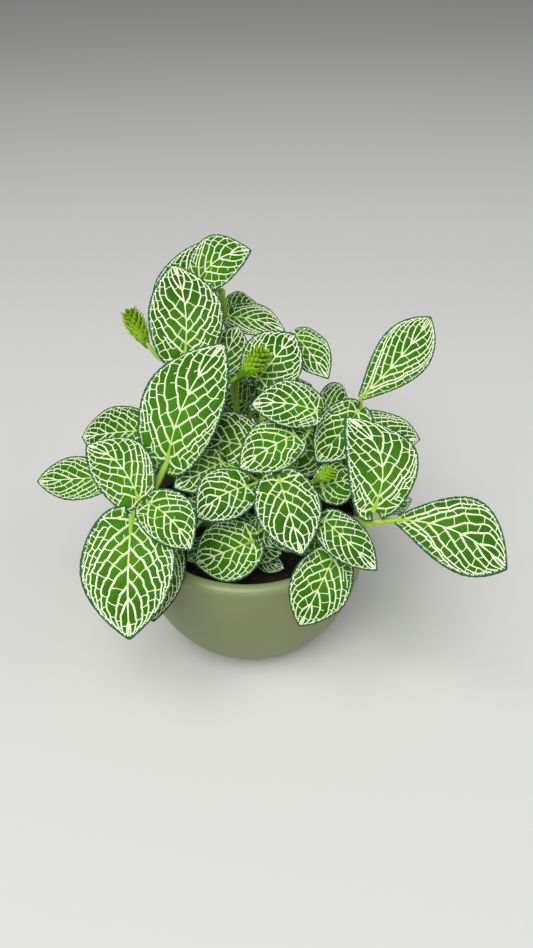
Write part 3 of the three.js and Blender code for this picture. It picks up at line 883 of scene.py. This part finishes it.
    def draw_loop(self):
        """The fine vein that joins the ends of the others, with spurs out into the rim."""
        size = self.blade.size
        edge = spaced(self.edge, 0.75, first=2, past=-1)
        ahead = np.gradient(edge, axis=0)
        inward = np.stack([-ahead[:, 1], ahead[:, 0]], 1)
        inward /= np.linalg.norm(inward, axis=1, keepdims=True)
        depth = np.array([self.dice.uniform(0.9, 1.4) for _ in edge]) * RIM * size
        loop = edge + inward * depth[:, None]
        loop = loop[(loop[:, 0] > 0) & (gaps(loop, self.edge) > 0.6 * RIM * size)]
        self.paths.append((loop, np.full(len(loop), FINE_VEIN * 0.6 * size)))
        for point, way_in in zip(edge, inward):
            start, reach = 1.1 * RIM * size, self.dice.uniform(0.35, 0.8) * RIM * size
            spur = point + way_in * np.array([[start], [(start + reach) / 2], [reach]])
            if spur[0, 0] > 0 and self.dice.random() < 0.6:
                self.paths.append((spur, np.array([0.7, 0.6, 0.3]) * FINE_VEIN * size))


def blade_veins(blade, seed):
    """All the veins of a blade: arrays of places along and across it, widths, and how green
    the vein still is."""
    dice = random.Random(seed)
    bend = dice.uniform(0.02, 0.35)  # of side veins towards the tip
    waves = [
        (2 * math.pi / reach, sway * blade.size, dice.uniform(0, 3), dice.uniform(0, 6))
        for reach, sway in ((9, 0.24), (6, 0.18), (3.6, 0.11), (2.4, 0.08))
        for _ in range(2)
    ]
    along = np.linspace(0, RIB_END, round(blade.length / 0.9))
    widths = MIDRIB * blade.size * (1 - 0.75 * along**0.7)
    veins = [(along, np.zeros(len(along)), widths, np.clip(1 - along / 0.5, 0, 1) ** 1.3)]
    for side in (-1, 1):
        net = HalfNet(blade, seed * 2 + side, bend)
        for way, widths in net.paths:
            calm = np.clip(way[:, 0] / 4, 0, 1) * np.clip(gaps(way, net.edge) / 2.5, 0.1, 1)
            sway = np.zeros((2, len(way)))
            for i, (pitch, reach, heading, phase) in enumerate(waves):
                phases = side * way[:, 0] * math.cos(heading) + way[:, 1] * math.sin(heading)
                sway[i % 2] += reach * np.sin(pitch * phases + phase)
            along, out = blade.unflat(np.maximum(way + (sway * calm).T, (0, -100)))
            near_rib = np.clip(1 - way[:, 0] / (7 * blade.size), 0, 1)
            green = 0.55 * near_rib * np.clip(1 - along / 0.7, 0, 1)
            veins.append((along, out * side, widths, green))
    return veins


def vein_lines(veins, blade, lines):
    """Adds a blade's veins to the lines of its stem, set so that they stand just proud."""
    for along, across, widths, green in veins:
        normal = blade.normal(along, across)
        depth = blade.thin(across) + 0.07 - VEIN_DEPTH * widths / 2
        points = blade.surface(along, across) + depth[:, None] * normal
        lines.append((points, normal, widths, green))


def distances(blade, along, across, marks):
    """How far each spot of a grid on the flattened blade is from the nearest of the marks."""
    tree = KDTree(len(marks))
    for x, y in marks:
        tree.insert((x, y, 0), 0)
    tree.balance()
    spots = blade.flat(along, np.abs(across))
    spots[..., 0] *= np.sign(across)
    nearest = [tree.find((x, y, 0))[2] for x, y in spots.reshape(-1, 2)]
    return np.array(nearest).reshape(along.shape)


def sheet_faces(rows, columns):
    """Faces of a closed sheet on a grid of points, which comes again for its underside. The
    faces of its two sides take turns, and those of its edge come last."""
    row = columns + 1
    down = (rows + 1) * row
    faces = []
    for i in range(rows):
        for a in range(i * row, i * row + columns):
            face = (a, a + 1, a + row + 1, a + row)
            faces += [face, tuple(down + corner for corner in reversed(face))]
    border = list(range(columns)) + list(range(columns, down - 1, row))
    border += list(range(down - 1, down - row, -1)) + list(range(down - row, 0, -row))
    faces += [(b, a, down + a, down + b) for a, b in zip(border, border[1:] + border[:1])]
    return faces


def leaf_mesh(name, blade, veins, age):
    """A thin closed blade whose green is puffed up between the veins."""
    rows = round(blade.length / SKIN_GRID)
    columns = 2 * round(blade.width / 2 / SKIN_GRID)
    along = (1 - np.cos(np.pi * np.arange(rows + 1) / rows)) / 2
    along, across = np.meshgrid(along, np.linspace(-1, 1, columns + 1), indexing="ij")
    on_veins = []
    for vein_along, vein_across, _, _ in veins:
        flat = blade.flat(vein_along, np.abs(vein_across))
        flat[:, 0] *= np.sign(vein_across)
        spots = np.linspace(0, len(flat) - 1, 4 * len(flat))
        on_veins.append([np.interp(spots, range(len(flat)), flat[:, i]) for i in (0, 1)])
    from_vein = distances(blade, along, across, np.concatenate(on_veins, axis=1).T)
    to_edge = distances(blade, along, np.abs(across), blade.outline()[6:])
    rise = np.clip((from_vein / blade.size - 0.3) / 1.3, 0, 1)
    puff = PUFF * blade.size * rise * rise * (3 - 2 * rise) * (1 - np.abs(across) ** 8)
    normal = blade.normal(along, across)
    middle = blade.surface(along, across)
    thin = blade.thin(across)
    top = middle + (thin + puff)[..., None] * normal
    under = middle + (0.8 * puff - thin)[..., None] * normal
    points = np.concatenate([top.reshape(-1, 3), under.reshape(-1, 3)]) * MM
    faces = sheet_faces(rows, columns)
    mesh = bpy.data.meshes.new(name)
    mesh.from_pydata(points.tolist(), [], faces)
    mesh.shade_smooth()
    mesh.materials.append(leaf_top)
    mesh.materials.append(leaf_under)
    is_under = [i % 2 if i < 2 * rows * columns else 0 for i in range(len(faces))]
    mesh.polygons.foreach_set("material_index", is_under)
    mark_points(mesh, "to_edge", [to_edge / blade.size] * 2)
    mark_points(mesh, "along", [along] * 2)
    mark_points(mesh, "age", [age] * len(mesh.vertices))
    return mesh


def leaf_material(name, greens, young, rim, shine):
    """One face of a blade: two greens that mix in soft patches, a younger one by the lower
    midrib, and the rim's own."""
    material, tree, shader = new_material(
        name, Roughness=shine, IOR=1.36, Specular_IOR_Level=0.13, Subsurface_Weight=0.05,
        Subsurface_Scale=0.0008,
    )
    place = add_node(tree, "ShaderNodeTexCoord").outputs["Object"]
    patches = add_node(
        tree, "ShaderNodeTexNoise", {"Vector": place, "Scale": 150, "Detail": 5, "Roughness": 0.65}
    )
    age, to_edge, along = (
        add_node(tree, "ShaderNodeAttribute", attribute_name=mark).outputs["Fac"]
        for mark in ("age", "to_edge", "along")
    )
    tone = add_node(tree, "ShaderNodeMath", {0: patches, 1: 1.1, 2: age}, operation="MULTIPLY_ADD")
    green = add_node(tree, "ShaderNodeMix", {"Factor": tone, 6: greens[0], 7: greens[1]}, data_type="RGBA")
    fresh = add_node(
        tree, "ShaderNodeMapRange",
        {"Value": along, "From Min": 0.1, "From Max": 0.8, "To Min": 0.05, "To Max": 0},
    )
    by_rib = add_node(tree, "ShaderNodeMath", {0: to_edge, 1: fresh}, operation="MULTIPLY", use_clamp=True)
    green = add_node(tree, "ShaderNodeMix", {"Factor": by_rib, 6: green, 7: young}, data_type="RGBA")
    is_rim = add_node(
        tree, "ShaderNodeMapRange",
        {"Value": to_edge, "From Min": 0.4, "From Max": 1.3, "To Min": 1, "To Max": 0},
        interpolation_type="SMOOTHSTEP",
    )
    colour = add_node(tree, "ShaderNodeMix", {"Factor": is_rim, 6: green, 7: rim}, data_type="RGBA")
    # The skin's cells are too fine to show, so they are drawn coarser, at a third of a millimetre.
    grain = add_node(tree, "ShaderNodeTexNoise", {"Vector": place, "Scale": 3000})
    bump = add_node(tree, "ShaderNodeBump", {"Strength": 0.25, "Distance": 0.0002, "Height": grain})
    feed(shader, {"Base Color": colour, "Normal": bump})
    return material


# Upper face: a satin skin, fresh green. Underside: matt, pale grey green.
leaf_top = leaf_material("nerve plant leaf, upper face", ("#3A7402", "#1D460A"), "#4E9004", "#2A593C", 0.55)
leaf_under = leaf_material("nerve plant leaf, underside", ("#8FAE74", "#7F9F69"), "#9DB884", "#6F9060", 0.7)

# The veins: waterier tissue with no green in it, cream white, but yellow green by the stalk.
vein_tissue, tree, shader = new_material("cream vein tissue", Roughness=0.5, IOR=1.4, Specular_IOR_Level=0.3)
greenness = add_node(tree, "ShaderNodeAttribute", attribute_name="green").outputs["Fac"]
vein_colour = add_node(
    tree, "ShaderNodeMix", {"Factor": greenness, 6: "#E9F4CC", 7: "#A0BC3C"}, data_type="RGBA"
)
feed(shader, {"Base Color": vein_colour})

# A flat band is swept along each vein, facing the way that the blade's surface does.
VEIN_DEPTH = 1.3  # times its width
veins_tree, given = new_tree("veins along paths", Depth="Float")
vein_curves = add_node(veins_tree, "GeometryNodeMeshToCurve", {"Mesh": given["Mesh"]})
facing = add_node(
    veins_tree, "GeometryNodeInputNamedAttribute", {"Name": "facing"}, data_type="FLOAT_VECTOR"
)
faced = add_node(
    veins_tree, "GeometryNodeSetCurveNormal", {"Curve": vein_curves, "Normal": facing}, mode="FREE"
)
band = add_node(
    veins_tree, "GeometryNodeCurvePrimitiveQuadrilateral", {"Width": given["Depth"], "Height": 1}
)
vein_width = add_node(veins_tree, "GeometryNodeInputNamedAttribute", {"Name": "width"}, data_type="FLOAT")
veins_swept = add_node(
    veins_tree, "GeometryNodeCurveToMesh",
    {"Curve": faced, "Profile Curve": band, "Scale": vein_width, "Fill Caps": True},
)
end_tree(veins_tree, veins_swept, vein_tissue)


def veins_mesh(name, lines):
    """The closed bands of all the veins on a stem's leaves."""
    points, facings, widths, greens = zip(*lines)
    paths = paths_mesh(name, points)
    mark_points(paths, "facing", np.concatenate(facings), "FLOAT_VECTOR")
    mark_points(paths, "width", np.concatenate(widths) * MM)
    mark_points(paths, "green", np.concatenate(greens))
    return run_tree(paths, veins_tree, {"Depth": VEIN_DEPTH}, name)


seed = 0
for stem_name, (stem_path, *leaves) in STEMS.items():
    path = [vector(p) for p in stem_path]
    joints = [path[leaf[0]] for leaf in leaves]
    rods = [stem_rod(stem_path, joints)]
    lines = []
    part_name = stem_name.replace("stem_", "")
    for number, (point, *shape) in enumerate(leaves, 1):
        seed += 1
        blade = Blade(*shape)
        veins = blade_veins(blade, seed)
        vein_lines(veins, blade, lines)
        # The stalk is widest at the joint, and runs on into the blade as its midrib.
        along = np.array([0.03, 0.1, 0.25])
        in_rib = blade.surface(along, np.zeros(3)) - np.array([[0.1], [0.3], [0.6]]) * blade.up
        line = smooth_path([path[point], blade.start, *in_rib], 0.6)
        thick = STALK_RADIUS * min(1.75, max(0.8, blade.width / 21))
        rods.append([(p, thick * (1 - 0.72 * (i / len(line)) ** 1.3)) for i, p in enumerate(line)])
        age = random.Random(seed * 7).uniform(*LEAF_AGES)
        mesh = leaf_mesh(f"leaf_{part_name}_{number}", blade, veins, age)
        place_piece(mesh, "foliage", stem_name)
    place_piece(veins_mesh(f"stem_{part_name}_veins", lines), "foliage", stem_name)
    for owner, point, bend, foot, *_ in SPIKES.values():
        if owner == stem_name:
            line = smooth_path([path[point], bend, foot], 0.6)
            rods.append([(p, STALK_RADIUS) for p in line])
    stem_mesh = rods_mesh(f"stem_{part_name}_skin", rods)
    place_piece(stem_mesh, "foliage", stem_name)
    hairs_mesh = run_tree(
        stem_mesh, hairs_tree, {"Hairs Per Area": 1.1e6, "Hair Length": 0.7 * MM, "Seed": seed},
        f"stem_{part_name}_hairs",
    )
    place_piece(hairs_mesh, "foliage", stem_name)

# ---- Flower spikes ----
# Young flower spikes at the ends of their stalks: lime-green bracts, narrow and pointed, that
# overlap all round a core and sheathe its neck. The flowers are still shut inside.
BRACTS_PER_SPIKE = 95
GOLDEN_TURN = math.radians(137.5)  # from one bract to the next
NECK = 0.22  # how far the bracts reach down the stalk, as a share of the spike's length

# Bract skin is thin, soft leaf tissue with fine hairs: matt, with light glowing through it.
bract_green, tree, shader = new_material(
    "young bract", Roughness=0.6, IOR=1.4, Subsurface_Weight=0.2, Subsurface_Scale=0.001
)
# Dark green at each bract's foot to lime at its tip. The lime tip is partly painted light, brighter than the
# bract's own green, to lift tips that lie in shade.
uv = add_node(tree, "ShaderNodeUVMap", uv_map="bract")
up_bract = add_node(tree, "ShaderNodeSeparateXYZ", {0: uv})
bract_colour = add_node(
    tree, "ShaderNodeMix", {"Factor": up_bract, 6: "#4E8200", 7: "#A8D424"}, data_type="RGBA"
)
feed(shader, {"Base Color": bract_colour})


def bract_mesh():
    """One bract: a keeled scale with a drawn-out tip. It grows up Z and faces out along X."""
    rows, columns = 5, 4
    points = []
    places = []
    for side in (0, 1):
        for i in range(rows + 1):
            up = i / rows
            half = 0.3 * math.sin(math.pi * (0.2 + 0.8 * up)) ** 0.8
            for j in range(columns + 1):
                over = 2 * j / columns - 1
                bow = 0.1 * math.sin(math.pi * min(1, 1.25 * up)) - 0.3 * half * over**2
                out = 0.25 * up**3 + bow
                points.append((out - 0.035 * side, half * over, up))
                places.append((up, over))
    mesh = bpy.data.meshes.new("bract")
    mesh.from_pydata(points, [], sheet_faces(rows, columns))
    layer = mesh.uv_layers.new(name="bract")
    for loop in mesh.loops:
        layer.uv[loop.index].vector = places[loop.vertex_index]
    mesh.shade_smooth()
    return mesh


# Bracts on a spiral, lowest first. They lie close on the neck and stand out round the crown.
tree, given = new_tree(
    "bracts on a spiral", Bracts="Int", Turn="Float", Spike_Length="Float", Core_Radius="Float",
    Bract_Length="Float", Seed="Int",
)
number = add_node(tree, "GeometryNodeInputIndex")
share = add_node(tree, "ShaderNodeMath", {0: number, 1: given["Bracts"]}, operation="DIVIDE")
angle = add_node(tree, "ShaderNodeMath", {0: number, 1: given["Turn"]}, operation="MULTIPLY")
swell = add_node(tree, "ShaderNodeMath", {0: share, 1: 2.45, 2: 0.2}, operation="MULTIPLY_ADD")
bulge = add_node(tree, "ShaderNodeMath", {0: swell}, operation="SINE")
core = add_node(tree, "ShaderNodeMath", {0: bulge, 1: given["Core Radius"]}, operation="MULTIPLY")
x, y = (
    add_node(
        tree, "ShaderNodeMath", {0: core, 1: add_node(tree, "ShaderNodeMath", {0: angle}, operation=side)},
        operation="MULTIPLY",
    )
    for side in ("COSINE", "SINE")
)
z = add_node(tree, "ShaderNodeMath", {0: share, 1: given["Spike Length"]}, operation="MULTIPLY")
spot = add_node(tree, "ShaderNodeCombineXYZ", {0: x, 1: y, 2: z})
points = add_node(tree, "GeometryNodePoints", {"Count": given["Bracts"], "Position": spot})
lean = add_node(
    tree, "FunctionNodeRandomValue", {2: -0.12, 3: 0.12, "Seed": given["Seed"]}, data_type="FLOAT"
)
opening = add_node(tree, "ShaderNodeMapRange", {"Value": share, "To Min": 0.15, "To Max": 0.75})
leant = add_node(tree, "ShaderNodeMath", {0: opening, 1: lean})
euler = add_node(tree, "ShaderNodeCombineXYZ", {1: leant, 2: angle})
turn = add_node(tree, "FunctionNodeEulerToRotation", {0: euler})
taper = add_node(tree, "ShaderNodeMapRange", {"Value": share, "From Min": 0.5, "To Min": 1, "To Max": 0.75})
bract_size = add_node(tree, "ShaderNodeMath", {0: taper, 1: given["Bract Length"]}, operation="MULTIPLY")
placed = add_node(
    tree, "GeometryNodeInstanceOnPoints",
    {"Points": points, "Instance": given["Mesh"], "Rotation": turn, "Scale": bract_size},
)
end_tree(tree, placed, bract_green)

for spike_name, (_, _, _, foot, tip, radius) in SPIKES.items():
    axis = vector(tip) - vector(foot)
    length = np.linalg.norm(axis)
    turn_up = Vector(axis).to_track_quat("Z", "Y").to_matrix().to_4x4()
    start = vector(foot) - NECK * axis
    stand = Matrix.Translation(Vector(start) * MM) @ turn_up
    bracts = run_tree(
        bract_mesh(), tree,
        {
            "Bracts": BRACTS_PER_SPIKE, "Turn": GOLDEN_TURN, "Spike Length": length * (0.8 + NECK) * MM,
            "Core Radius": radius * 0.5 * MM, "Bract Length": length * 0.24 * MM, "Seed": 2,
        },
        spike_name + "_bracts",
    )
    bracts.transform(stand)
    place_piece(bracts, "bracts", spike_name)
    core_rod = [
        (start + axis * s, radius * (0.16 + 0.36 * math.sin(2.9 * s / (0.8 + NECK))))
        for s in np.linspace(0, 0.8 + NECK, 14)
    ]
    core_mesh = rods_mesh(spike_name + "_core", [core_rod])
    core_mesh.materials.clear()
    core_mesh.materials.append(bract_green)
    place_piece(core_mesh, "bracts", spike_name)
